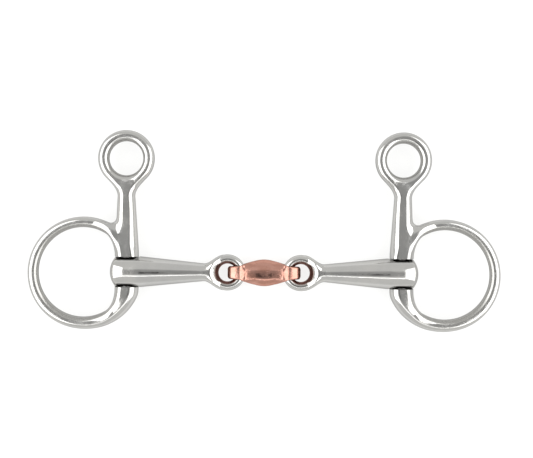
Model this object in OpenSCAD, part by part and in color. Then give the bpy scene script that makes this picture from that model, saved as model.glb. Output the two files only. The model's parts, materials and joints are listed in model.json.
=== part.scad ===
// Hanging-cheek snaffle bit with a double-jointed mouthpiece and a copper lozenge.
// The bit lies flat: X runs from cheek to cheek, Y points up the stems towards the top eyes,
// and Z is the thickness. The origin is under the middle of the box that the whole bit fills.
// Each cheek and each mouth arm is drawn for the right-hand side and mirrored for the left.
// Cheeks are drawn about their hinge: u points outwards, v up the stem.
// Arms are drawn about the same hinge: s is the distance from it towards the lozenge.

/* [Mouthpiece] */
// Width of the mouth, between the inner faces of the two cheeks
mouth_w = 125; // [105:1:150]
// Diameter of the thick end of each mouth arm
butt_d = 15.4; // [14.5:0.1:17]
// Length of each butt before the arm begins to taper, from the hinge pin's axis
butt_run = 6.5; // [5:0.5:8]
// How far the domed end stands beyond the hinge pin's axis
dome_reach = 8.2; // [7.5:0.1:9]
// Radius of that dome
dome_r = 11.4; // [10:0.1:16]
// Diameter of each mouth arm where it meets its link eye
neck_d = 8.85; // [8:0.05:10]
// Outer diameter of each arm's link eye
link_eye_d = 18; // [17:0.1:19]
// Hole through that eye
link_eye_hole_d = 8.8; // [8.6:0.1:9]
// Thickness of that eye
link_eye_t = 4.8; // [4.6:0.1:5]

/* [Copper lozenge] */
// Length of the lozenge
loz_l = 36.6; // [36:0.2:38]
// Height of the lozenge at its middle
loz_h = 13.45; // [11:0.05:15]
// Height of the lozenge at its two ends
loz_end_h = 6.4; // [6:0.1:6.6]
// Thickness of the lozenge
loz_t = 10.8; // [10:0.1:12]
// Diameter of the hole through each end at its narrowest
loz_hole_d = 5.7; // [5.6:0.05:6]

/* [Cheeks] */
// Outer diameter of each rein ring
ring_d = 55.8; // [50:0.1:75]
// Thickness of the ring's wire at its top
wire_top = 5.25; // [4.5:0.05:6]
// Thickness of the ring's wire at its bottom
wire_bottom = 6; // [5:0.05:7]
// How far the ring's centre lies outside the hinge pin's axis
ring_out = 21.3; // [20:0.1:22]
// How far the ring's centre lies below the mouthpiece's axis
ring_drop = 0.7; // [0:0.1:1.5]
// Width of the cheek where it meets the butt
rod_w = 11.9; // [11:0.1:13]
// Thickness of the cheek there
rod_t = 9.2; // [8.5:0.1:10]
// Width of the stem at its narrowest
neck_w = 8.7; // [8:0.1:10]
// Thickness of the stem at its narrowest
neck_t = 6.8; // [6:0.1:8]
// Outer diameter of the top eye
eye_d = 28; // [24:0.1:30]
// Hole through the top eye
eye_hole_d = 17; // [15:0.1:18]
// Thickness of the top eye
eye_t = 5.8; // [5.6:0.1:6]
// Height of the top eye's centre above the mouthpiece's axis
eye_rise = 56.45; // [50:0.05:62]
// How far the top eye's centre lies outside the hinge pin's axis
eye_out = 0.6; // [0:0.1:1.5]

/* [Hinges] */
// Diameter of each hinge pin
pin_d = 6; // [5:0.1:6.5]
// Radial running clearance of the butt's bore on the pin
pin_run = 0.06; // [0.02:0.01:0.1]
// Radial interference of the pin in the cheek's sockets
pin_press = 0.01; // [0:0.005:0.02]
// Depth of the socket in each of the cheek's two shoulders
socket_depth = 4; // [3:0.5:5]
// Distance between the two flats on the butt
butt_flats = 14.4; // [14:0.1:15]
// Gap between each flat and the cheek's shoulder
shoulder_gap = 0.25; // [0.1:0.05:0.4]

/* [Hidden] */

steel = "silver";
pin_steel = "gray";
copper = "peru";

$fn = 96;
LIP = 0.2;                    // how far a blank reaches past the surface that trims it
TUCK = 0.05;                  // a covered end is this much narrower than what covers it
RIGHT = 1;
LEFT = -1;

// Places of the hinges, the link joints and the whole bit
hinge_x = mouth_w / 2 + rod_w / 2;
link_eye_wire_r = link_eye_t / 2;
link_eye_ring_r = link_eye_d / 2 - link_eye_wire_r;
loz_hole_r = loz_hole_d / 2;
link_inset = 6.65;            // from each end of the lozenge to the axis of its hole
link_x = loz_l / 2 - link_inset;
link_eye_s = hinge_x - link_x - link_eye_ring_r;
top_v = eye_rise + eye_d / 2;
bottom_v = -ring_drop - ring_d / 2;
axis_y = -(top_v + bottom_v) / 2;
mid_z = butt_d / 2;

// Cheek: the ring's hole is set off-centre, so that the wire is thickest at the bottom
shoulder_v = butt_flats / 2 + shoulder_gap;
ring_r = ring_d / 2;
hole_r = (ring_d - wire_top - wire_bottom) / 2;
hole_shift = (wire_bottom - wire_top) / 2;
heel_r = ring_r - 0.7;        // the ring's lower corner under the hinge is a fuller arc of this radius
heel_c = [1.7, -0.7];         // and its centre lies this far towards the hinge and below the ring's centre
corner_p = 20;                // how tightly the hole's two corners turn into its straight side
edge_p = 60;                  // the same for the outside edge
swell_start = 80;             // degrees from the hinge at which the wire begins to thicken
swell_end = 25;               // and at which it has reached the rod's thickness
gusset_r = 3.5;               // how far the web in the fork stands out beyond the ring's outline
gusset_top = 74;              // directions from the ring's centre between which that web lies
gusset_bottom = 30;
gusset_fade = 14;             // and the angle over which it rises and falls
slot_out = 10.7;              // the gap for the butt reaches this far outwards from the hinge
rod_square = 2.3;             // squareness of the rod's section: 2 is an oval, and more is squarer
RING_STEPS = 80;
RING_SIDES = 16;

// Stem: its two edges run straight from the shoulder to the neck
taper_v = 10;                 // height at which the taper starts
eye_lap = 3.05;               // the stem ends this far inside the top eye's outline,
spread_run = 5.5;             // spreads into the eye over this length below that end,
neck_below = 2;               // and is narrowest this far below the spread
spread_end_v = eye_rise - eye_d / 2 + eye_lap;
spread_v = spread_end_v - spread_run;
neck_v = spread_v - neck_below;
neck_out = 0.45;              // how far the neck's middle lies outside the hinge pin's axis
fork_v = 30.5;                // the ring has left the stem at this height
fork_run = 7;                 // and the stem's outer edge has closed in over this length
fork_p = 1.5;                 // a higher power closes it in later
spread = 4.3;                 // how much each edge spreads at the eye
spread_p = 1.35;              // a higher power spreads it later
stem_end_t = eye_t - 0.4;     // thickness of the stem where it ends inside the eye
stem_base_v = 5;              // the stem is drawn from here and trimmed at the shoulder
STEM_SIDES = 20;

// Lozenge
LOZ_STEPS = 32;
LOZ_SIDES = 28;
LOZ_TURN = 84;                // the sections crowd towards both ends as the sine of up to this angle
loz_waist = 16;               // half length of the bell curve that its top and bottom edges follow
loz_nose = 6.3;               // length of each rounded end, seen from above
loz_corner = 1.7;             // rounding of each end's corners, seen from the front
loz_square = 3.8;             // squareness of its section: 2 is an oval, and more is squarer
loz_nose_p = 2.3;             // the same for its rounded ends, seen from above
loz_tip_t = 0.8;              // least thickness, at the very tip
flare_r = 5;                  // the hole flares towards both mouths along an arc of this radius
flare_mouth_r = 4.3;          // and is never wider than this
flare_lap = 0.1;              // the arc starts this far inside the narrowest stretch

// Arm
dome_c = dome_r - dome_reach;
spread_start = link_eye_d / 2 + 2.6;    // the neck spreads into the eye from this far off its centre
spread_end = 2.4;             // and ends this close to it
spread_w = link_eye_d - 0.8;  // a little narrower than the eye's ring there
flat_t = link_eye_t - 0.1;    // and a little thinner
spread_tail = 2;              // the spreading piece starts this much further back, inside the taper
flat_run = 6;                 // the thickness falls to the eye's over this length
taper_s = link_eye_s - spread_start;
spread_square = 2.1;          // squareness of its section
spot_margin = 0.6;            // the flats on the butt reach this far beyond the cheek's rod
SPREAD_STEPS = 10;
ARM_SIDES = 24;

function smooth(x) = let(t = max(0, min(1, x))) t * t * (3 - 2 * t);
function lerp(a, b, t) = a + (b - a) * t;
function signed_pow(x, p) = sign(x) * pow(abs(x), p);

// One rounded section: width across, thickness through, and how square it is
function oval(w, t, square, sides) = [
    for (i = [0:sides - 1])
        let(a = 360 * i / sides)
            [w / 2 * signed_pow(cos(a), 2 / square), t / 2 * signed_pow(sin(a), 2 / square)]
];

// A solid skin over a row of sections with equal numbers of points.
// A closed row joins its last section to its first, and an open one has flat ends.
module loft(sections, closed = false) {
    rows = len(sections);
    sides = len(sections[0]);
    last = closed ? rows - 1 : rows - 2;
    points = [for (row = sections) for (p = row) p];
    skin = [
        for (r = [0:last]) for (i = [0:sides - 1])
            let(a = r * sides, b = ((r + 1) % rows) * sides, j = (i + 1) % sides)
                each [[a + i, b + j, a + j], [a + i, b + i, b + j]]
    ];
    ends = closed ? [] : [
        [for (i = [0:sides - 1]) i],
        [for (i = [sides - 1:-1:0]) (rows - 1) * sides + i]
    ];
    polyhedron(points = points, faces = concat(skin, ends));
}

module torus(ring_radius, wire_radius) {
    rotate_extrude()
        translate([ring_radius, 0])
            circle(r = wire_radius);
}

module along_y() {
    rotate([90, 0, 0])
        children();
}

// ---- Cheek, in u (outwards), v (up the stem) and z about its own mid-plane ----

// Directions round the ring: 0 points from its centre to the hinge, 90 points up
function ring_dir(a) = [-cos(a), sin(a)];

// Distance from the ring's centre, in that direction, to a circle that is set off by c
function to_circle(a, c, r) =
    let(d = ring_dir(a), along = c * d, across = c[0] * d[1] - c[1] * d[0])
        along + sqrt(r * r - across * across);

// Distance to a line that crosses u, kept far away where the direction doesn't meet it
function to_line(a, u) = u / max(cos(a), 0.05);

// The smaller of two distances, with the corner between them rounded
function rounded_min(x, y, p) = pow(pow(x, -p) + pow(y, -p), -1 / p);

function ring_inside(a) = rounded_min(
    to_circle(a, [hole_shift, hole_shift], hole_r),
    to_line(a, ring_out - rod_w / 2),
    corner_p
);

function gusset(a) =
    gusset_r * pow(smooth((gusset_top - a) / gusset_fade), 3)
        * smooth((a - gusset_bottom) / gusset_fade);

function ring_outside(a) = gusset(a) + rounded_min(
    max(ring_r, to_circle(a, [-heel_c[0], heel_c[1]], heel_r)),
    to_line(a, ring_out + rod_w / 2),
    edge_p
);

function ring_section(a) =
    let(
        inside = ring_inside(a),
        outside = ring_outside(a),
        d = ring_dir(a),
        swell = smooth((swell_start - abs(a)) / (swell_start - swell_end)),
        wire = lerp(wire_top, wire_bottom, (1 - sin(a)) / 2),
        square = lerp(2, rod_square, swell),
        section = oval(outside - inside, lerp(wire, rod_t, swell), square, RING_SIDES)
    )
    [
        for (p = section)
            let(r = (inside + outside) / 2 + p[0])
                [ring_out + d[0] * r, d[1] * r - ring_drop, p[1]]
    ];

// The stem's inner edge tapers straight, and its outer edge closes in above the fork.
// At the top both edges spread into the eye.
function into_eye(v) = max(0, v - spread_v) / (spread_end_v - spread_v);

function eye_spread(v) = spread * pow(into_eye(v), spread_p);

function stem_in(v) =
    let(tapered = max(0, min(1, (v - taper_v) / (neck_v - taper_v))))
        eye_spread(v) + lerp(rod_w / 2, neck_w / 2 - neck_out, tapered);

function stem_out(v) =
    let(forked = pow(smooth((fork_v - v) / fork_run), fork_p))
        eye_spread(v) + lerp(neck_w / 2 + neck_out, rod_w / 2, forked);

function stem_t(v) =
    let(below = lerp(rod_t, neck_t, smooth((v - shoulder_v) / (neck_v - shoulder_v))))
        lerp(below, stem_end_t, into_eye(v));

function stem_section(v) = [
    for (p = oval(stem_in(v) + stem_out(v), stem_t(v), rod_square, STEM_SIDES))
        [p[0] + (stem_out(v) - stem_in(v)) / 2, v, p[1]]
];

module stem() {
    heights = [
        stem_base_v,
        each [for (i = [0:3]) lerp(taper_v, fork_v - fork_run, i / 3)],
        each [for (i = [1:5]) lerp(fork_v - fork_run, fork_v, i / 5)],
        each [for (i = [1:2]) lerp(fork_v, neck_v, i / 2)],
        each [for (i = [0:6]) lerp(spread_v, spread_end_v, i / 6)]
    ];
    mirrored_loft([for (v = heights) stem_section(v)]);
}

// Sections that are stacked along v run the other way round
module mirrored_loft(sections) {
    loft([for (row = sections) [for (i = [len(row) - 1:-1:0]) row[i]]]);
}

module ring() {
    loft([for (i = [0:RING_STEPS - 1]) ring_section(360 * i / RING_STEPS - 180)], closed = true);
}

module cheek_shape() {
    difference() {
        union() {
            ring();
            stem();
            translate([eye_out, eye_rise, 0])
                torus(eye_d / 2 - eye_t / 2, eye_t / 2);
        }
        // room for the butt, between the two flat shoulders
        translate([-rod_w, -shoulder_v, -rod_t])
            cube([rod_w + slot_out, 2 * shoulder_v, 2 * rod_t]);
        // sockets that hold the ends of the hinge pin
        along_y()
            cylinder(r = pin_d / 2 - pin_press, h = 2 * (shoulder_v + socket_depth), center = true);
        // the top eye's worn bore
        translate([eye_out, eye_rise, 0])
            cylinder(d = eye_hole_d, h = 2 * eye_t, center = true);
    }
}

// ---- Hinge pin ----

module hinge_pin_shape() {
    along_y()
        cylinder(d = pin_d, h = 2 * (shoulder_v + socket_depth), center = true);
}

// ---- Mouth arm, in s (towards the lozenge), y and z about its own axis ----

module along_s() {
    rotate([0, 90, 0])
        children();
}

module butt_and_cannon() {
    intersection() {
        translate([-dome_reach - LIP, 0, 0])
            along_s()
                union() {
                    cylinder(d = butt_d, h = dome_reach + LIP + butt_run);
                    translate([0, 0, dome_reach + LIP + butt_run])
                        cylinder(d1 = butt_d, d2 = neck_d - TUCK, h = taper_s - butt_run);
                }
        union() {
            translate([dome_c, 0, 0])
                sphere(r = dome_r);
            along_s()
                cylinder(d = 2 * butt_d, h = link_eye_s);
        }
    }
}

// The neck spreads into the eye and flattens to its thickness.
// Both follow the distance from the eye's centre.
function half_spread(d) =
    lerp(neck_d, spread_w, smooth((spread_start - d) / (spread_start - spread_end))) / 2;

function thinned(d) = lerp(neck_d, flat_t, smooth((spread_start + 1 - d) / flat_run));

module eye_shoulders() {
    loft([
        for (i = [SPREAD_STEPS:-1:0])
            let(d = lerp(spread_end, spread_start + spread_tail, i / SPREAD_STEPS))
                [
                    for (p = oval(2 * half_spread(d), thinned(d), spread_square, ARM_SIDES))
                        [link_eye_s - d, p[0], p[1]]
                ]
    ]);
}

module arm_shape() {
    difference() {
        union() {
            butt_and_cannon();
            difference() {
                eye_shoulders();
                // the inner half of the eye's ring stays round
                translate([link_eye_s, 0, 0])
                    difference() {
                        cylinder(r = link_eye_ring_r, h = 2 * neck_d, center = true);
                        torus(link_eye_ring_r, link_eye_wire_r);
                    }
            }
            translate([link_eye_s, 0, 0])
                torus(link_eye_ring_r, link_eye_wire_r);
        }
        // hinge bore
        along_y()
            cylinder(r = pin_d / 2 + pin_run, h = 2 * butt_d, center = true);
        // flats for the cheek's two shoulders
        for (side = [LEFT, RIGHT])
            translate([0, side * (butt_flats / 2 + butt_d / 2), 0])
                along_y()
                    cylinder(d = rod_w + 2 * spot_margin, h = butt_d, center = true);
        // link eye's bore
        translate([link_eye_s, 0, 0])
            cylinder(d = link_eye_hole_d, h = 2 * link_eye_t, center = true);
    }
}

// ---- Copper lozenge, about its own centre ----

function loz_half_h(x) =
    let(
        bell = (loz_h - loz_end_h) / 4 * (1 + cos(180 * min(abs(x), loz_waist) / loz_waist)),
        corner = max(0, abs(x) - (loz_l / 2 - loz_corner))
    )
    loz_end_h / 2 + bell - (loz_corner - sqrt(max(0, loz_corner * loz_corner - corner * corner)));

function loz_half_t(x) =
    let(nose = min(1, max(0, abs(x) - (loz_l / 2 - loz_nose)) / loz_nose))
        loz_t / 2 * pow(1 - pow(nose, loz_nose_p), 1 / loz_nose_p);

module lozenge_hole() {
    along_y() {
        cylinder(r = loz_hole_r, h = loz_h, center = true);
        difference() {
            cylinder(r = flare_mouth_r, h = loz_h, center = true);
            torus(loz_hole_r - flare_lap + flare_r, flare_r);
        }
    }
}

module lozenge_body() {
    loft([
        for (i = [0:LOZ_STEPS])
            let(
                x = loz_l / 2 * sin(lerp(-LOZ_TURN, LOZ_TURN, i / LOZ_STEPS)) / sin(LOZ_TURN),
                t = max(2 * loz_half_t(x), loz_tip_t)
            )
            [for (p = oval(2 * loz_half_h(x), t, loz_square, LOZ_SIDES)) [x, p[0], p[1]]]
    ]);
}

module copper_lozenge() {
    color(copper)
        translate([0, axis_y, mid_z])
            difference() {
                lozenge_body();
                for (side = [LEFT, RIGHT])
                    translate([side * link_x, 0, 0])
                        lozenge_hole();
            }
}

// ---- Placing ----

module on_side(side) {
    if (side == LEFT)
        mirror([1, 0, 0])
            on_side(RIGHT) children();
    else
        translate([hinge_x, axis_y, mid_z])
            children();
}

module towards_lozenge() {
    mirror([1, 0, 0])
        children();
}

module left_cheek() {
    color(steel)
        on_side(LEFT) cheek_shape();
}

module right_cheek() {
    color(steel)
        on_side(RIGHT) cheek_shape();
}

module left_hinge_pin() {
    color(pin_steel)
        on_side(LEFT) hinge_pin_shape();
}

module right_hinge_pin() {
    color(pin_steel)
        on_side(RIGHT) hinge_pin_shape();
}

module left_mouth_arm() {
    color(steel)
        on_side(LEFT) towards_lozenge() arm_shape();
}

module right_mouth_arm() {
    color(steel)
        on_side(RIGHT) towards_lozenge() arm_shape();
}

left_cheek();
left_hinge_pin();
left_mouth_arm();
copper_lozenge();
right_mouth_arm();
right_hinge_pin();
right_cheek();
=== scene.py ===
"""Hanging-cheek snaffle bit with a copper lozenge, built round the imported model.

Every steel or copper piece is a smooth closed skin. Its shape is one function of a point, below zero
inside the metal, and skin() turns that function into quads and puts every vertex on the surface.
Shapes are written in millimetres about their own hinge or link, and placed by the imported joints.
"""

import json
import math

import bpy
import numpy as np
from mathutils import Matrix, Vector


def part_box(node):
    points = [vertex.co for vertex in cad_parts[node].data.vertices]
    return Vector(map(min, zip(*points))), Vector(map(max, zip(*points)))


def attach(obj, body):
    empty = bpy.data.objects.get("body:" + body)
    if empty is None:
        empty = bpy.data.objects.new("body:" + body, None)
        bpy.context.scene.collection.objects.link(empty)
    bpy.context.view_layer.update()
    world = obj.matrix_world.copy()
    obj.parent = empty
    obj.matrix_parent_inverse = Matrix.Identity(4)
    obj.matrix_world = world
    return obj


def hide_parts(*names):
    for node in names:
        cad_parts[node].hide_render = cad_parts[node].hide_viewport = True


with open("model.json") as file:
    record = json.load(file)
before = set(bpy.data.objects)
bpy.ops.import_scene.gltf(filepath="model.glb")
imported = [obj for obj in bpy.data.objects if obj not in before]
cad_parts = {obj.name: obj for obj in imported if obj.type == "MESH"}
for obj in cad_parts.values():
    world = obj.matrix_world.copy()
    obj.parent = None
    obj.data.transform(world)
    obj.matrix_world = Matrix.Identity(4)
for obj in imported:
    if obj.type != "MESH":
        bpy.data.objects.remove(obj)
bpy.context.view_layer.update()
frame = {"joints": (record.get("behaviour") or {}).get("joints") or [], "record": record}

MM = 0.001
joints = {j["name"]: Vector(j["pos_m"]) / MM for j in frame["joints"]}
mounts = {m["name"]: m for m in frame["record"]["mounts"]}
HINGE = joints["right_cheek_swivel"]
LINK = joints["right_link_fold"]
EYE = Vector(mounts["right_top_eye"]["pos_m"]) / MM - HINGE
RING = Vector(mounts["right_rein_ring"]["pos_m"]) / MM - HINGE


def size_of(node):
    low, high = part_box(node)
    return (high - low) / MM


def ends_of(node, about):
    """The node's lowest and highest corners, in millimetres from a point."""
    low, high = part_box(node)
    return low / MM - about, high / MM - about


# ---- Shape functions: distances in millimetres, below zero inside ----

def smooth(t):
    t = np.clip(t, 0, 1)
    return t * t * (3 - 2 * t)


def rises(value, start, end):
    """0 up to the start, 1 from the end, and a smooth rise between them."""
    return smooth((value - start) / (end - start))


def falls(value, start, end):
    """1 up to the start, 0 from the end, and a smooth fall between them."""
    return smooth((end - value) / (end - start))


def mix(a, b, t):
    return a + (b - a) * t


def join(a, b, k):
    """Both shapes, with the crease between them filled over a width of k."""
    h = np.maximum(k - np.abs(a - b), 0) / k
    return np.minimum(a, b) - h ** 3 * k / 6


def meet(a, b, k):
    """What both shapes share, with the edge rounded over a width of k."""
    return -join(-a, -b, k)


def cut(a, b, k):
    """The first shape without the second."""
    return meet(a, -b, k)


def join_round(a, b, r):
    """Both shapes, with a round fillet of radius r."""
    fillet = np.hypot(np.maximum(r - a, 0), np.maximum(r - b, 0))
    return np.maximum(r, np.minimum(a, b)) - fillet


def meet_round(a, b, r):
    """What both shapes share, with the edge rounded to radius r."""
    return -join_round(-a, -b, r)


def disc(x, y, centre_x, centre_y, r):
    return np.hypot(x - centre_x, y - centre_y) - r


def plate(outline, z, thickness, edge_r):
    """A plate of that outline whose edges are rounded. The rounding starts gently."""
    ease = 0.14 * edge_r
    t = outline + edge_r
    across = np.where(t > ease, t, np.maximum(t + ease, 0) ** 2 / (4 * ease))
    through = np.maximum(np.abs(z) - thickness / 2 + edge_r, 0)
    return np.hypot(across, through) - edge_r


# ---- Skin: a closed quad mesh on the surface where the function is zero ----

def axis(low, high, step, fine=(), reach=1.0, parts=3):
    """Grid lines from low to high. Cells within reach of a fine place are split into parts."""
    lines = np.linspace(low, high, int(math.ceil((high - low) / step)) + 1)
    out = [lines[:1]]
    for a, b in zip(lines[:-1], lines[1:]):
        near = any(abs((a + b) / 2 - place) < reach for place in fine)
        out.append(np.linspace(a, b, (parts if near else 1) + 1)[1:])
    return np.concatenate(out)


def slope(field, p, h=0.01):
    steps = h * np.eye(3)
    return np.stack([(field(*(p + e).T) - field(*(p - e).T)) / (2 * h) for e in steps], 1)


def settle(field, p, rounds=4):
    """Moves points onto the surface."""
    for _ in range(rounds):
        g = slope(field, p)
        step = (field(*p.T) / np.maximum((g * g).sum(1), 0.05))[:, None] * g
        p = p - np.clip(step, -0.4, 0.4)
    return p


def relax(quads, p, amount):
    """Moves each point towards the middle of its neighbours."""
    total = np.zeros_like(p)
    count = np.zeros(len(p))
    for a, b in ((0, 1), (1, 2), (2, 3), (3, 0)):
        for i, j in ((quads[:, a], quads[:, b]), (quads[:, b], quads[:, a])):
            np.add.at(total, i, p[j])
            np.add.at(count, i, 1)
    return mix(p, total / count[:, None], amount)


def skin(field, axes):
    """(points, quads, outward normals) of a shape, by surface nets on a grid."""
    value = field(*np.meshgrid(*axes, indexing="ij", sparse=True))
    cells = [len(a) - 1 for a in axes]
    points, owners, quads = [], [], []
    for a in range(3):
        b, c = (a + 1) % 3, (a + 2) % 3
        low = np.take(value, range(cells[a]), axis=a)
        high = np.take(value, range(1, cells[a] + 1), axis=a)
        at = np.argwhere((low < 0) != (high < 0))
        f0, f1 = low[tuple(at.T)], high[tuple(at.T)]
        point = np.stack([axes[d][at[:, d]] for d in range(3)], 1)
        point[:, a] += f0 / (f0 - f1) * np.diff(axes[a])[at[:, a]]
        around = []
        for back_b, back_c in ((0, 0), (1, 0), (1, 1), (0, 1)):
            cell = at.copy()
            cell[:, b] -= back_b
            cell[:, c] -= back_c
            around.append(np.ravel_multi_index(cell.T, cells))
            points.append(point)
            owners.append(around[-1])
        quad = np.stack(around, 1)
        quads.append(np.where((f0 < 0)[:, None], quad, quad[:, ::-1]))
    owners, points, quads = (np.concatenate(x) for x in (owners, points, quads))
    used, index = np.unique(owners, return_inverse=True)
    n = np.bincount(index)
    p = np.stack([np.bincount(index, points[:, d]) / n for d in range(3)], 1)
    quads = np.searchsorted(used, quads)
    p = settle(field, p)
    for _ in range(3):
        p = settle(field, relax(quads, p, 0.5), 2)
    p = settle(field, p)
    normal = slope(field, p)
    normal /= np.linalg.norm(normal, axis=1)[:, None]
    return p, quads, normal


# ---- Cheek, in u (outwards from the hinge), v (up the stem) and z ----

cheek_low, cheek_high = ends_of("right_cheek", HINGE)
ROD_HALF = 5.95                               # half the rod's width at the butt
RING_R = cheek_high.x - RING.x                # the ring's outer radius
EYE_R = cheek_high.y - EYE.y                  # the top eye's outer radius
EYE_HOLE_R = mounts["right_top_eye"]["dims"]["r_mm"]
ROD_T = cheek_high.z - cheek_low.z
SHOULDER = 7.45                               # each shoulder's height from the hinge's middle
WIRE_THIN = 5.25                              # the ring's wire at its top and outer side
WIRE_THICK = 6.0                              # and at its bottom
NECK_IN, NECK_OUT = 3.9, 4.8                  # the stem's two edges at its narrowest
NECK_V = 38.0
TAPER_V = 10.0
NECK_T = 6.8
EYE_T = 5.8
HEEL_R = RING_R - 0.7                         # a fuller arc under the hinge,
HEEL_IN, HEEL_DOWN = 1.7, 0.7                 # and how far its centre lies from the ring's
HOLE_R = RING_R - (WIRE_THIN + WIRE_THICK) / 2
HOLE_SHIFT = (WIRE_THICK - WIRE_THIN) / 2
HOLE_CORNER_R = 4.5                           # where the ring's hole meets the rod
FORK_R = (0.3, 4.5)                           # fillet between ring and stem, low down and in the fork
EYE_FILLET_R = 5.5                            # fillet between stem and top eye
EDGE_R = 4.6                                  # the front's rounded edges
CROWN = 0.16                                  # how much the rod's and stem's front is domed
SLOT_OUT = 12.0                               # the butt's slot reaches this far outwards
SOCKET_END = 11.45                            # the blind sockets for the pin end this far out
PIN_R = 3.0
PIN_SIDES = 64


def taper(v):
    """How far the stem's taper has come, 0 to 1, at that height."""
    return np.clip((v - TAPER_V) / (NECK_V - TAPER_V), 0, 1)


def stem_edges(v):
    """How far the stem reaches inwards and outwards from the hinge's line."""
    return mix(ROD_HALF, NECK_IN, taper(v)), mix(ROD_HALF, NECK_OUT, taper(v))


def cheek_outline(u, v):
    """(filled outline, the ring's hole, the eye's hole), each as a distance."""
    inner, outer = stem_edges(v)
    stem = np.maximum(np.maximum(-u - inner, u - outer), np.maximum(-v, v - EYE.y))
    rim = disc(u, v, RING.x, RING.y, RING_R)
    heel = disc(u, v, RING.x - HEEL_IN, RING.y - HEEL_DOWN, HEEL_R)
    wheel = meet(join(rim, heel, 0.5), -ROD_HALF - u, 1.2)
    filled = join_round(wheel, stem, mix(*FORK_R, rises(v, 14, 22)))
    filled = join_round(filled, disc(u, v, EYE.x, EYE.y, EYE_R), EYE_FILLET_R)
    hole = disc(u, v, RING.x + HOLE_SHIFT, RING.y + HOLE_SHIFT, HOLE_R)
    hole = meet_round(hole, ROD_HALF - u, HOLE_CORNER_R)
    return filled, hole, disc(u, v, EYE.x, EYE.y, EYE_HOLE_R)


def cheek_thickness(u, v):
    """The ring's wire swells to the rod's thickness near the hinge, and the stem thins upwards."""
    x, y = u - RING.x, v - RING.y
    turn = np.degrees(np.arctan2(y, -x))      # 0 towards the hinge, 90 straight up
    lean = (np.cos(np.radians(turn)) - np.sin(np.radians(turn))) / 2
    wire = (WIRE_THIN + WIRE_THICK) / 2 + (WIRE_THICK - WIRE_THIN) * lean
    wire = mix(wire, ROD_T, falls(np.abs(turn), 25, 80))
    stem = mix(ROD_T, NECK_T, rises(v, SHOULDER, NECK_V))
    stem = mix(stem, EYE_T, rises(v, 39, 47))
    in_fork = falls(u, 6, 17) * rises(v, 0, 6)
    above_fork = rises(v, 32, 38)
    return mix(wire, np.maximum(wire, stem), np.maximum(in_fork, above_fork))


def cheek(u, v, z):
    """A rounded plate of the cheek's outline, slotted for the butt and bored for the pin."""
    filled, ring_hole, eye_hole = cheek_outline(u, v)
    hole = np.minimum(ring_hole, eye_hole)
    outline = np.maximum(filled, -hole)
    half_width = (hole - filled) / 2
    thickness = cheek_thickness(u, v)
    edge = join(np.minimum(thickness / 2, EDGE_R), np.maximum(0.9 * half_width, 0.5), 0.3)
    inner, outer = stem_edges(v)
    across = (2 * u - outer + inner) / (outer + inner)
    wide = rises(half_width, 3.2, 4.7) * falls(np.abs(u), 6, 9)
    thickness = thickness - 2 * CROWN * np.minimum(across * across, 1) * wide
    shape = plate(outline, z, thickness, edge)
    slot = np.maximum(np.abs(v) - SHOULDER, u - SLOT_OUT)
    shape = cut(shape, slot, 0.25)
    socket = np.maximum(np.hypot(u, z) - PIN_R, np.abs(v) - SOCKET_END)
    return cut(shape, socket, 0.2)


# ---- Mouth arm, in s (from the hinge towards the lozenge), y and z ----

arm_low, arm_high = ends_of("right_mouth_arm", HINGE)
BUTT_R = size_of("right_mouth_arm").z / 2
DOME_REACH = arm_high.x
DOME_R = 11.4                                 # radius of the butt's domed end
BUTT_RUN = 6.5                                # the taper starts this far from the hinge
TAPER_EASE = 0.06                             # and starts gently, over this share of its length
BUTT_ROUND_R = 13.0                           # the butt's front curves down towards its end
LINK_EYE_R = size_of("right_mouth_arm").y / 2
LINK_HOLE_R = 4.4
LINK_EYE_T = 4.8
THIN_RING_R = 8.9                             # the eye thins to that from this circle inwards,
THIN_FROM = 7.8                               # and from this far off its centre along the arm
LINK_S = -arm_low.x - LINK_EYE_R
CONE_STEEP = 1.5                              # the link hole's mouths are coned,
CONE_LAND = 0.35                              # leave a straight stretch this high each way
CONE_REACH = 2.5                              # and end this far outside the hole
NECK_R = 4.425
SPREAD = 11.6                                 # the neck spreads from this far off the eye's centre
SPREAD_END = 2.4                              # to this far off it,
SPREAD_HALF = 8.6                             # and to this half width
FLAT_Y = 7.2                                  # the butt's two flats, for the cheek's shoulders
FLAT_R = ROD_HALF + 0.6
PIN_CLEARANCE = 0.06


def arm_radius(s):
    """The butt's radius, then an even taper down to the neck's."""
    t = (s - BUTT_RUN) / (LINK_S - SPREAD - BUTT_RUN)
    eased = np.maximum(t + TAPER_EASE, 0) ** 2 / (4 * TAPER_EASE)
    return mix(BUTT_R, NECK_R, np.minimum(np.where(t > TAPER_EASE, t, eased), 1))


def butt_flattening(s):
    """How much the butt's front and back have curved down towards its end, as a factor on z."""
    away = np.clip(-s, 0, 0.8 * BUTT_ROUND_R)
    drop = BUTT_ROUND_R - np.sqrt(BUTT_ROUND_R ** 2 - away ** 2)
    return BUTT_R / (BUTT_R - drop)


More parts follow.
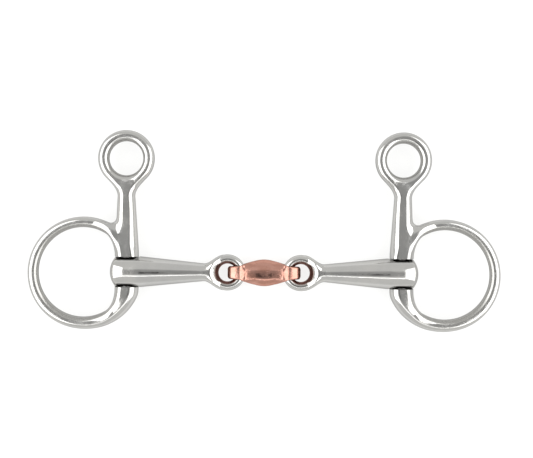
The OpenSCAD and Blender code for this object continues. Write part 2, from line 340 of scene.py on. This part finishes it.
def arm(s, y, z):
    """A round tapered bar with a domed butt, flattening into the link eye."""
    back = LINK_S - s
    cannon = np.hypot(y, z * butt_flattening(s)) - arm_radius(s)
    # the neck spreads into the flat link eye
    spread = falls(back, SPREAD_END, SPREAD)
    neck = np.maximum(np.abs(y) - mix(arm_radius(s), SPREAD_HALF, spread), SPREAD_END - back)
    outline = join(neck, disc(s, y, LINK_S, 0, LINK_EYE_R), 1.0)
    hole = disc(s, y, LINK_S, 0, LINK_HOLE_R)
    half_width = (hole - outline) / 2
    ring_thin = falls(np.hypot(back, y), LINK_HOLE_R, THIN_RING_R)
    along_thin = falls(back, 3, THIN_FROM)
    thin = np.clip(-join(-ring_thin, -along_thin, 0.2), 0, 1)
    thickness = mix(2 * arm_radius(s), LINK_EYE_T, thin)
    edge = join(thickness / 2, np.maximum(half_width, 0.5), 0.3)
    flat = plate(np.maximum(outline, -hole), z, thickness, edge)
    shape = mix(cannon, flat, falls(back, SPREAD, SPREAD + 3))
    cone = (np.abs(z) - CONE_LAND - CONE_STEEP * np.maximum(hole, 0)) / math.hypot(1, CONE_STEEP)
    shape = meet(shape, np.where(hole < CONE_REACH, cone, -1), 0.5)
    dome = np.sqrt(np.maximum(DOME_R - DOME_REACH - s, 0) ** 2 + y * y + z * z) - DOME_R
    shape = meet(shape, dome, 0.7)
    for side in (-1, 1):
        facing = np.maximum(FLAT_Y - side * y, np.hypot(s, z) - FLAT_R)
        shape = cut(shape, facing, 0.25)
    return cut(shape, np.hypot(s, z) - PIN_R - PIN_CLEARANCE, 0.2)


# ---- Lozenge, about its own centre ----

LOZ_L, LOZ_H, LOZ_T = size_of("copper_lozenge") / 2
LOZ_END_H = 3.2                               # half the height of its two ends
LOZ_BELL = 16.0                               # half length of the bell curve of its edges
LOZ_NOSE = 6.3                                # length of each rounded end, seen from above
LOZ_NOSE_POWER = 2.3
LOZ_CORNER = 1.7
LOZ_CORNER_OUT = 0.5                          # the corners' roundings start this far past the end
LOZ_HOLE_R = 2.85
LOZ_FULLER = 0.1                              # how much the middle's front leans
LOZ_LEVEL = 3.5                               # the front is level this far out, then arched
LOZ_ARCH_R = 31.0
LOZ_TIP_SLOPE = 0.08                          # the ends' front slopes down by this much per millimetre
FOLD = math.radians(50)                       # the link holes leave room for this much folding


def lozenge_half_h(x):
    """Half the height of its outline, seen from the front."""
    bell = (LOZ_H - LOZ_END_H) / 2 * (1 + np.cos(np.pi * np.minimum(np.abs(x), LOZ_BELL) / LOZ_BELL))
    return LOZ_END_H + bell


def link_hole(x, y, z):
    """The room that the arm's ring-shaped eye sweeps through as it folds to either side."""
    eye_wire_r = (LINK_EYE_R + LINK_HOLE_R) / 2
    bend = eye_wire_r - np.sqrt(np.maximum(eye_wire_r ** 2 - y * y, 4))
    out, up = np.abs(x) - LINK.x, np.abs(z)
    fold = np.minimum(np.arctan2(up, out), FOLD)
    return np.hypot(out - bend * np.cos(fold), up - bend * np.sin(fold)) - LOZ_HOLE_R


def lozenge(x, y, z):
    """A block with bell-shaped edges, an arched front and back and rounded ends."""
    half_h = lozenge_half_h(x)
    front = meet_round(np.abs(y) - half_h, np.abs(x) - LOZ_L - LOZ_CORNER_OUT, LOZ_CORNER)
    nose = np.maximum(np.abs(x) - (LOZ_L - LOZ_NOSE), 0) / LOZ_NOSE
    arched = np.clip(np.abs(x) - LOZ_LEVEL, 0, LOZ_L - LOZ_NOSE - LOZ_LEVEL)
    half_t = LOZ_T - arched ** 2 / (2 * LOZ_ARCH_R)
    half_t = half_t - LOZ_TIP_SLOPE * nose * LOZ_NOSE
    rounded = nose ** LOZ_NOSE_POWER + np.abs(z / half_t) ** LOZ_NOSE_POWER
    side = (rounded ** (1 / LOZ_NOSE_POWER) - 1) * half_t
    # the middle is oval in section, a little fuller below, and the ends are flat fronted
    power = mix(2.05, 6, rises(np.abs(x), 9.3, 11.8))
    breadth = half_h * mix(1.02, 1.5, rises(np.abs(x), 4.5, 10.5))
    up = np.maximum(np.abs(z) + LOZ_FULLER * y * falls(np.abs(x), 8, 14), 0.01)
    oval = ((np.abs(y) / breadth) ** power + (up / half_t) ** power) ** (1 / power) - 1
    shape = meet(meet_round(front, side, 1.0), oval * LOZ_END_H, 0.6)
    return cut(shape, link_hole(x, y, z), 0.6)


# ---- Marks: how far painted shade, painted reflection, wear and tarnish reach, 0 to 1, at each point of a skin ----

def cheek_marks(p):
    u, v, z = p.T
    filled, ring_hole, eye_hole = cheek_outline(u, v)
    # painted shade: the shoulders at the hinge gap and the pin's socket are marked to be coloured nearly
    # black
    shoulder = falls(np.abs(np.abs(v) - SHOULDER), 0, 0.2) * (np.abs(u) < ROD_HALF + 0.6)
    socket = (np.hypot(u, z) < PIN_R + 0.4) * (np.abs(v) < SOCKET_END + 0.4)
    rein = falls(np.abs(ring_hole), 1.5, 2.5) * rises(u, 7, 12)
    strap = np.maximum(rein, falls(np.abs(eye_hole), 0.6, 1.5))
    return {"painted_shade_and_tarnish": np.maximum(shoulder, socket), "painted_copper_reflection_and_shade": np.zeros(len(p)), "worn": strap}


def arm_marks(p):
    s, y, z = p.T
    hole = np.abs(disc(s, y, LINK_S, 0, LINK_HOLE_R))
    near_pin = np.hypot(s, z)
    # painted shade: the flats beside the hinge gap and the pin's bore are marked to be coloured nearly
    # black
    in_gap = falls(np.abs(np.abs(y) - FLAT_Y), 0.05, 0.25)
    flats = in_gap * falls(near_pin, FLAT_R - 0.1, FLAT_R + 0.2)
    bore = near_pin < PIN_R + 0.4
    # painted reflection of the copper lozenge and painted shade: the steel round the link hole is marked
    # for a mottled dark brown
    painted_copper_reflection_and_shade = falls(hole, 1.05, 1.75)
    return {"painted_shade_and_tarnish": np.maximum(flats, bore), "painted_copper_reflection_and_shade": painted_copper_reflection_and_shade, "worn": falls(hole, 1, 3)}


def lozenge_marks(p):
    x, _, z = p.T
    # the tips are darkened, partly as tarnish and partly as a painted dark reflection; round the link
    # holes it is tarnish
    tip = rises(np.abs(x), LOZ_L - 2.2, LOZ_L - 1.3)
    hole = np.hypot(np.abs(x) - LINK.x, z) - LOZ_HOLE_R
    bore = falls(hole, 0.3, 1.5)
    return {"painted_shade_and_tarnish": np.maximum(tip, bore), "worn": falls(hole, 1.2, 3.2)}


# ---- Making the pieces ----

def place(points, origin, mirrored, outwards=1):
    """Local millimetres to metres in the row frame."""
    p = points * np.array([outwards, 1, 1]) + np.array(origin)
    return p * np.array([-1 if mirrored else 1, 1, 1]) * MM


def add_mesh(name, points, faces, normals=None):
    mesh = bpy.data.meshes.new(name)
    mesh.from_pydata(points.tolist(), [], faces)
    mesh.polygons.foreach_set("use_smooth", np.ones(len(faces), bool))
    mesh.update()
    if normals is not None:
        mesh.normals_split_custom_set_from_vertices(normals.tolist())
    piece = bpy.data.objects.new(name, mesh)
    bpy.context.scene.collection.objects.link(piece)
    return piece


def finish_piece(piece, material, body, node):
    """The piece stands for a CAD node and moves with its body."""
    piece.data.materials.append(material)
    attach(piece, body)
    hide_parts(node)


def add_marks(piece, marks):
    for mark, values in marks.items():
        layer = piece.data.attributes.new(mark, "FLOAT", "POINT")
        layer.data.foreach_set("value", np.asarray(values, dtype=np.float32))


def add_skin(name, made, marks, origin, mirrored, outwards=1):
    """A skin in its place. Its quads are turned over where the placing mirrors it, so that they
    still face out. outwards is -1 for a shape whose first axis runs towards the lozenge."""
    p, quads, normal = made
    turn = np.array([outwards * (-1 if mirrored else 1), 1, 1])
    faces = quads[:, ::-1] if turn[0] < 0 else quads
    piece = add_mesh(name, place(p, origin, mirrored, outwards), faces.tolist(), normal * turn)
    add_marks(piece, marks(p))
    return piece


def add_pin(name, half, mirrored):
    """A turned pin: a short chamfer at each end and a shallow dimple left by the lathe's centre."""
    dimple = half - 0.5
    end = [(0.45, half - 0.3), (0.8, half), (PIN_R - 0.4, half), (PIN_R, half - 0.4)]
    rows = end + [(PIN_R, y) for y in np.linspace(half - 1.2, -half + 1.2, 9)]
    rows += [(r, -y) for r, y in end[::-1]]
    angles = np.arange(PIN_SIDES) * 2 * np.pi / PIN_SIDES
    points = [(r * math.sin(t), y, r * math.cos(t)) for r, y in rows for t in angles]
    top, bottom = len(points), len(points) + 1
    points += [(0, dimple, 0), (0, -dimple, 0)]
    last = (len(rows) - 1) * PIN_SIDES
    faces = []
    for i in range(PIN_SIDES):
        j = (i + 1) % PIN_SIDES
        faces += [(a + i, a + PIN_SIDES + i, a + PIN_SIDES + j, a + j) for a in range(0, last, PIN_SIDES)]
        faces += [(top, i, j), (bottom, last + j, last + i)]
    if mirrored:
        faces = [face[::-1] for face in faces]
    return add_mesh(name, place(np.array(points), HINGE, mirrored), faces)


# ---- Materials: patterns are laid out in the row frame, with their sizes in millimetres ----

def new_material(name):
    material = bpy.data.materials.new(name)
    material.use_nodes = True
    tree = material.node_tree
    return material, tree, tree.nodes["Principled BSDF"]


def add_node(tree, kind, inputs, **settings):
    """A shader node. Each input is given a value, or the socket that feeds it."""
    made = tree.nodes.new(kind)
    for key, value in settings.items():
        setattr(made, key, value)
    for socket, value in inputs.items():
        if isinstance(value, bpy.types.NodeSocket):
            tree.links.new(value, made.inputs[socket])
        else:
            made.inputs[socket].default_value = value
    return made


def cloud(tree, size, detail=2.0, turn=(0, 0, 0)):
    """Noise, 0 to 1, whose blotches have that size along x, y and z before they are turned."""
    coords = tree.nodes.new("ShaderNodeTexCoord")
    mapped = add_node(tree, "ShaderNodeMapping", {
        "Vector": coords.outputs["Object"],
        "Rotation": [math.radians(a) for a in turn],
        "Scale": [length * MM for length in size],
    }, vector_type="TEXTURE")
    noise = add_node(tree, "ShaderNodeTexNoise", {
        "Vector": mapped.outputs[0], "Scale": 1.0, "Detail": detail, "Roughness": 0.55,
    })
    return noise.outputs["Fac"]


def ramp(tree, value, start, end, low=0.0, high=1.0):
    """low up to the start value, high from the end value, and straight between them."""
    made = add_node(tree, "ShaderNodeMapRange", {
        "Value": value, "From Min": start, "From Max": end, "To Min": low, "To Max": high,
    })
    return made.outputs[0]


def sums(tree, operation, a, b):
    return add_node(tree, "ShaderNodeMath", {0: a, 1: b}, operation=operation).outputs[0]


def blend(tree, amount, a, b):
    """Colour a where the amount is 0, colour b where it is 1."""
    made = add_node(tree, "ShaderNodeMix", {0: amount, 6: a, 7: b}, data_type="RGBA")
    return made.outputs[2]


def mark(tree, name):
    return add_node(tree, "ShaderNodeAttribute", {}, attribute_name=name).outputs["Fac"]


def hairlines(tree, length, width, turn):
    """Fine scratches of about that length and spacing, in scattered patches."""
    noise = cloud(tree, (length, width, width), 0.0, turn)
    middle = sums(tree, "SUBTRACT", noise, 0.5)
    away = add_node(tree, "ShaderNodeMath", {0: middle}, operation="ABSOLUTE").outputs[0]
    lines = ramp(tree, away, 0.0, 0.035, 1.0, 0.0)
    patches = ramp(tree, cloud(tree, (length, length, length), 1.0, turn), 0.48, 0.6)
    return sums(tree, "MULTIPLY", lines, patches)


def bumped(tree, height, distance, below=None):
    """The normal of a surface raised by height times a distance in millimetres."""
    inputs = {"Height": height, "Distance": distance * MM, "Strength": 1.0}
    if below:
        inputs["Normal"] = below
    return add_node(tree, "ShaderNodeBump", inputs).outputs[0]


def polished_steel():
    """Hand-polished stainless steel: a mirror with soft waves, wiped smudges and hairlines. Painted
    shade darkens the hinge gaps, straps dull the holes, and the link eyes get a painted reflection
    of the copper and painted shade."""
    material, tree, shader = new_material("polished_steel")
    shader.inputs["Metallic"].default_value = 1.0
    shader.inputs["Specular Tint"].default_value = (0.5, 0.5, 0.5, 1)
    painted_shade_and_tarnish, painted_copper_reflection_and_shade, worn = mark(tree, "painted_shade_and_tarnish"), mark(tree, "painted_copper_reflection_and_shade"), mark(tree, "worn")
    tone = ramp(tree, cloud(tree, (17, 17, 17), 3.0), 0.35, 0.65)
    colour = blend(tree, tone, (0.49, 0.487, 0.478, 1), (0.54, 0.533, 0.515, 1))
    colour = blend(tree, sums(tree, "MULTIPLY", worn, 0.8), colour, (0.34, 0.335, 0.32, 1))
    # painted reflection of the copper lozenge and painted shade: a mottled dark brown in the link eyes
    mottled = sums(tree, "MULTIPLY", painted_copper_reflection_and_shade, ramp(tree, cloud(tree, (1.6, 1.6, 1.6)), 0.25, 0.5, 0.7, 1.0))
    colour = blend(tree, mottled, colour, (0.23, 0.125, 0.105, 1))
    # painted shade: the hinge gaps, the pin's socket and its bore are coloured nearly black
    colour = blend(tree, painted_shade_and_tarnish, colour, (0.03, 0.028, 0.026, 1))
    tree.links.new(colour, shader.inputs["Base Color"])

    scratches = hairlines(tree, 7, 0.5, (12, 8, 24))
    for turn in ((-20, 35, 71), (40, -15, 118), (5, 60, 160)):
        scratches = sums(tree, "MAXIMUM", scratches, hairlines(tree, 5, 0.4, turn))
    smudge = ramp(tree, cloud(tree, (9, 9, 9), 4.0), 0.42, 0.68)
    rough = ramp(tree, smudge, 0.0, 1.0, 0.045, 0.105)
    for amount, strength in ((scratches, 0.16), (worn, 0.15), (painted_copper_reflection_and_shade, 0.14), (painted_shade_and_tarnish, 0.40)):
        rough = sums(tree, "ADD", rough, sums(tree, "MULTIPLY", amount, strength))
    tree.links.new(rough, shader.inputs["Roughness"])

    waves = bumped(tree, cloud(tree, (8, 8, 8), 1.0), 0.05)
    dents = bumped(tree, ramp(tree, cloud(tree, (1.6, 1.6, 1.6), 1.0), 0.28, 0.4), 0.004, waves)
    tree.links.new(bumped(tree, scratches, -0.0035, dents), shader.inputs["Normal"])
    return material


def copper_alloy():
    """Copper alloy, polished by use: pinker and browner patches, dark tarnish round the link holes,
    a dark band at the tips that is partly tarnish and partly a painted dark reflection, scratches
    along it and small dents from the horse's teeth."""
    material, tree, shader = new_material("copper_alloy")
    shader.inputs["Metallic"].default_value = 1.0
    shader.inputs["Specular Tint"].default_value = (0.6, 0.5, 0.47, 1)
    painted_shade_and_tarnish, worn = mark(tree, "painted_shade_and_tarnish"), mark(tree, "worn")
    tone = ramp(tree, cloud(tree, (6, 3, 4), 3.0), 0.35, 0.65)
    colour = blend(tree, tone, (0.465, 0.238, 0.183, 1), (0.54, 0.295, 0.238, 1))
    spots = ramp(tree, cloud(tree, (1.1, 0.7, 0.9), 3.0), 0.6, 0.74, 0.0, 0.5)
    colour = blend(tree, spots, colour, (0.36, 0.155, 0.10, 1))
    # dark at the tips, partly tarnish and partly a painted dark reflection, and tarnish round the link
    # holes
    ragged = ramp(tree, cloud(tree, (1.5, 1.5, 1.5), 3.0), 0.3, 0.6, 0.65, 1.0)
    colour = blend(tree, sums(tree, "MULTIPLY", painted_shade_and_tarnish, ragged), colour, (0.085, 0.038, 0.026, 1))
    tree.links.new(colour, shader.inputs["Base Color"])

    scratches = sums(
        tree, "MAXIMUM", hairlines(tree, 6, 0.35, (0, 0, 6)), hairlines(tree, 4, 0.35, (20, 10, -38))
    )
    rough = ramp(tree, cloud(tree, (4, 4, 4), 3.0), 0.35, 0.65, 0.10, 0.19)
    for amount, strength in ((scratches, 0.14), (worn, 0.05), (painted_shade_and_tarnish, 0.22)):
        rough = sums(tree, "ADD", rough, sums(tree, "MULTIPLY", amount, strength))
    tree.links.new(rough, shader.inputs["Roughness"])

    waves = bumped(tree, cloud(tree, (5, 4, 4), 1.0), 0.035)
    dents = bumped(tree, ramp(tree, cloud(tree, (1.3, 1.3, 1.3), 0.0), 0.27, 0.4), 0.02, waves)
    tree.links.new(bumped(tree, scratches, -0.005, dents), shader.inputs["Normal"])
    return material


def turned_steel():
    """Plain turned steel under a film of old grease, with the tool's fine rings along it."""
    material, tree, shader = new_material("turned_steel")
    shader.inputs["Metallic"].default_value = 1.0
    film = ramp(tree, cloud(tree, (2.5, 2.5, 2.5), 3.0), 0.35, 0.65)
    colour = blend(tree, film, (0.10, 0.095, 0.09, 1), (0.19, 0.185, 0.18, 1))
    tree.links.new(colour, shader.inputs["Base Color"])
    rings = cloud(tree, (40, 0.14, 40), 1.0)
    tree.links.new(ramp(tree, film, 0.0, 1.0, 0.45, 0.28), shader.inputs["Roughness"])
    tree.links.new(bumped(tree, rings, 0.008), shader.inputs["Normal"])
    return material


# ---- Camera, floor and lights ----

CAMERA_HEIGHT = 400                           # millimetres from the bit's mid-plane
PIXELS_PER_MM = 2.007                         # how large the bit is seen in the photograph's frame
FRAME_PIXELS = 533
SENSOR_MM = 36
VIEW_CENTRE = (1.0, 21.8)                     # millimetres from the middle of the mouthpiece
VIEW_TILT = math.radians(0.5)
FLOOR_HALF = 12.0
SKY_DISTANCE = 2.5                            # the lights and the hood are this far from the bit
EDGE_W = 0.07                                 # width of the dark edge round a panel's cloth


def add_camera():
    data = bpy.data.cameras.new("camera")
    data.sensor_width = SENSOR_MM
    data.lens = SENSOR_MM * CAMERA_HEIGHT * PIXELS_PER_MM / FRAME_PIXELS
    camera = bpy.data.objects.new("camera", data)
    bpy.context.scene.collection.objects.link(camera)
    across, up = VIEW_CENTRE
    camera.location = Vector((across, HINGE.y + up, HINGE.z + CAMERA_HEIGHT)) * MM
    camera.rotation_euler = (0, 0, VIEW_TILT)
    bpy.context.scene.camera = camera


def rectangle(half_x, half_y, z):
    """The four corners of a level rectangle."""
    return [(x * half_x, y * half_y, z) for x, y in ((-1, -1), (1, -1), (1, 1), (-1, 1))]


def add_floor():
    """A pale light table: most of its light comes through it, so shadows on it are faint."""
    floor = add_mesh("floor", np.array(rectangle(FLOOR_HALF, FLOOR_HALF, 0)), [(0, 1, 2, 3)])
    material, _, shader = new_material("floor")
    shader.inputs["Base Color"].default_value = (0.2, 0.2, 0.2, 1)
    shader.inputs["Roughness"].default_value = 0.9
    shader.inputs["Specular IOR Level"].default_value = 0.1
    shader.inputs["Emission Color"].default_value = (1, 1, 0.99, 1)
    shader.inputs["Emission Strength"].default_value = 0.79
    floor.data.materials.append(material)


def in_the_sky(away):
    """A place in the sky, facing the bit. away is its direction, as degrees from straight up in x
    and y. Its own x runs up and down the sky, and its own y sideways."""
    across, along = (math.tan(math.radians(a)) for a in away)
    direction = Vector((across, along, 1)).normalized()
    facing = direction.to_track_quat("Z", "X").to_matrix().to_4x4()
    return Matrix.Translation(direction * SKY_DISTANCE) @ facing


def add_panel(name, away, size, glow):
    """A soft panel of light. Its size is up and down the sky, then sideways."""
    data = bpy.data.lights.new(name, "AREA")
    data.shape = "RECTANGLE"
    data.size, data.size_y = size
    data.energy = glow * math.pi * size[0] * size[1]
    light = bpy.data.objects.new(name, data)
    bpy.context.scene.collection.objects.link(light)
    light.matrix_world = in_the_sky(away)


def add_black_card(name, away, inner, outer):
    """A flat black frame between two half sizes. With an inner size of nothing it is a full card."""
    points = np.array(rectangle(*inner, 0.005) + rectangle(*outer, 0.005))
    card = add_mesh(name, points, [(i, (i + 1) % 4, 4 + (i + 1) % 4, 4 + i) for i in range(4)])
    card.matrix_world = in_the_sky(away)
    material, _, shader = new_material(name)
    shader.inputs["Base Color"].default_value = (0.03, 0.03, 0.03, 1)
    shader.inputs["Roughness"].default_value = 0.9
    card.data.materials.append(material)


def add_world():
    """A grey room, darker straight overhead than round the sides."""
    world = bpy.data.worlds.new("studio")
    bpy.context.scene.world = world
    world.use_nodes = True
    tree = world.node_tree
    coords = tree.nodes.new("ShaderNodeTexCoord")
    parts = tree.nodes.new("ShaderNodeSeparateXYZ")
    sky = tree.nodes.new("ShaderNodeValToRGB")
    tree.links.new(coords.outputs["Generated"], parts.inputs[0])
    tree.links.new(parts.outputs["Z"], sky.inputs["Fac"])
    tree.links.new(sky.outputs["Color"], tree.nodes["Background"].inputs["Color"])
    horizon, sides, overhead = (1.0, 1.0, 0.99, 1), (0.9, 0.9, 0.885, 1), (0.49, 0.49, 0.485, 1)
    stops = ((0.0, horizon), (0.25, sides), (0.9, sides), (0.965, overhead))
    while len(sky.color_ramp.elements) < len(stops):
        sky.color_ramp.elements.new(0.5)
    for element, (height, colour) in zip(sky.color_ramp.elements, stops):
        element.position = height
        element.color = colour


def add_lights():
    """Two large soft panels with dark edges, a narrow strip in front, and the dark underside of
    the hood that a copy camera hangs in, just off straight overhead."""
    size = (2.25, 3.3)
    half = [length / 2 for length in size]
    for name, away in (("left_panel", (-44, 0)), ("right_panel", (44, 0))):
        add_panel(name, away, size, 2.2)
        add_black_card(name + "_edge", away, half, [length + EDGE_W for length in half])
    add_black_card("camera_hood", (0, -6), (0, 0), (0.35, 0.13))
    add_panel("front_strip", (0, -31), (0.16, 1.6), 3.0)


steel, copper, pin_steel = polished_steel(), copper_alloy(), turned_steel()

# A grid has two ends and a cell size on each axis. It reaches past its piece on every side, and its
# cells are finer at the hinge's flats and shoulders.
cheek_skin = skin(cheek, (
    axis(-15.0, 51.0, 0.42),
    axis(-31.0, 73.0, 0.42, fine=(-SHOULDER, SHOULDER), reach=0.9),
    axis(-5.4, 5.4, 0.4),
))
arm_skin = skin(arm, (
    axis(-9.4, 61.0, 0.4, fine=(-5.2,), reach=0.8, parts=2),
    axis(-9.8, 9.8, 0.4, fine=(-FLAT_Y, FLAT_Y), reach=0.6),
    axis(-8.4, 8.4, 0.4),
))
lozenge_skin = skin(lozenge, (
    axis(-19.2, 19.2, 0.3),
    axis(-7.6, 7.6, 0.3),
    axis(-6.2, 6.2, 0.3),
))

for side, mirrored in (("left", True), ("right", False)):
    cheek_piece = add_skin(side + "_cheek_skin", cheek_skin, cheek_marks, HINGE, mirrored)
    finish_piece(cheek_piece, steel, side + "_cheek", side + "_cheek")
    arm_piece = add_skin(side + "_mouth_arm_skin", arm_skin, arm_marks, HINGE, mirrored, outwards=-1)
    finish_piece(arm_piece, steel, side + "_arm", side + "_mouth_arm")
    pin_node = side + "_hinge_pin"
    pin_piece = add_pin(pin_node + "_turned", size_of(pin_node).y / 2, mirrored)
    finish_piece(pin_piece, pin_steel, side + "_cheek", pin_node)

middle = (0, LINK.y, LINK.z)
lozenge_piece = add_skin("copper_lozenge_skin", lozenge_skin, lozenge_marks, middle, False)
finish_piece(lozenge_piece, copper, "lozenge", "copper_lozenge")

add_floor()
add_world()
add_lights()
add_camera()
bpy.context.scene.view_settings.view_transform = "Standard"
